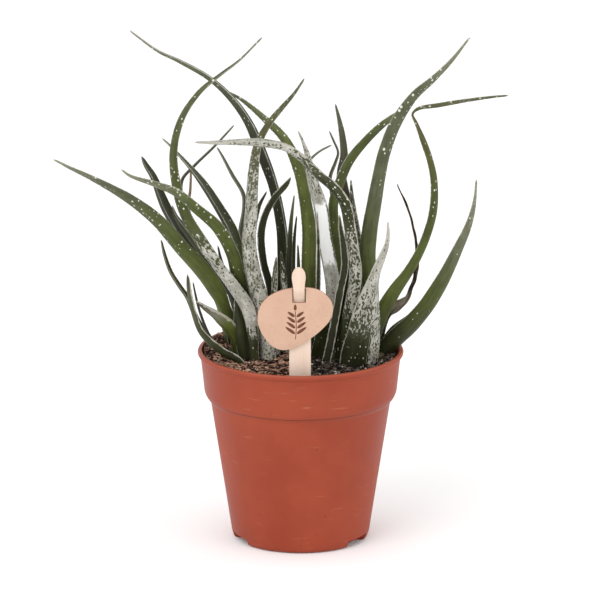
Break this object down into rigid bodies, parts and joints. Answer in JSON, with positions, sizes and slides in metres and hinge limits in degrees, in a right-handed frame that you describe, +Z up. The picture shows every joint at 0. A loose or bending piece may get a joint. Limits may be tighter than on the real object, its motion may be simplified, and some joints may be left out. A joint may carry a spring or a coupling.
{
  "type": "potted maidu aloe",
  "caption": "Clump of slender, arching, white-flecked succulent leaves growing in peat in a tapered round nursery pot with a plain wooden plant label.",
  "frame": {"origin": "centre of the pot's flat underside, on the surface that the pot stands on", "axes": "+Z up the pot's axis, +X to the right when the label faces the viewer, +Y away from the viewer"},
  "size_m": [0.2608, 0.16, 0.3087],
  "materials": {
    "pot": "satin",
    "soil": "matte",
    "leaf": "satin",
    "dry_leaf": "matte",
    "crown": "matte",
    "board": "matte",
    "stick": "matte"
  },
  "bodies": {
    "root": {"pot": "pot", "soil": "soil", "label_stick": "stick", "label_board": "board", "left_crown": "crown", "left_leaf_1": "leaf", "left_leaf_2": "leaf", "left_leaf_3": "leaf", "left_leaf_4": "leaf", "left_leaf_5": "leaf", "left_leaf_6": "leaf", "left_leaf_7": "leaf", "left_leaf_8": "leaf", "left_leaf_9": "leaf", "left_leaf_10": "leaf", "left_leaf_11": "leaf", "left_leaf_12": "leaf", "left_leaf_13": "leaf", "inner_left_crown": "crown", "inner_left_leaf_1": "leaf", "inner_left_leaf_2": "leaf", "inner_left_leaf_3": "leaf", "inner_left_leaf_4": "leaf", "inner_left_leaf_5": "leaf", "inner_left_leaf_6": "leaf", "inner_left_leaf_7": "leaf", "inner_left_leaf_8": "leaf", "inner_left_leaf_9": "leaf", "inner_left_leaf_10": "leaf", "middle_crown": "crown", "middle_leaf_1": "leaf", "middle_leaf_2": "leaf", "middle_leaf_3": "leaf", "middle_leaf_4": "leaf", "middle_leaf_5": "leaf", "middle_leaf_6": "leaf", "middle_leaf_7": "leaf", "inner_right_crown": "crown", "inner_right_leaf_1": "leaf", "inner_right_leaf_2": "leaf", "inner_right_leaf_3": "leaf", "inner_right_leaf_4": "leaf", "inner_right_leaf_5": "leaf", "inner_right_leaf_6": "leaf", "inner_right_leaf_7": "leaf", "inner_right_leaf_8": "leaf", "right_crown": "crown", "right_leaf_1": "leaf", "right_leaf_2": "leaf", "right_leaf_3": "leaf", "right_leaf_4": "leaf", "right_leaf_5": "leaf", "right_leaf_6": "leaf", "right_leaf_7": "dry_leaf", "right_leaf_8": "dry_leaf"}
  },
  "joints": []
}
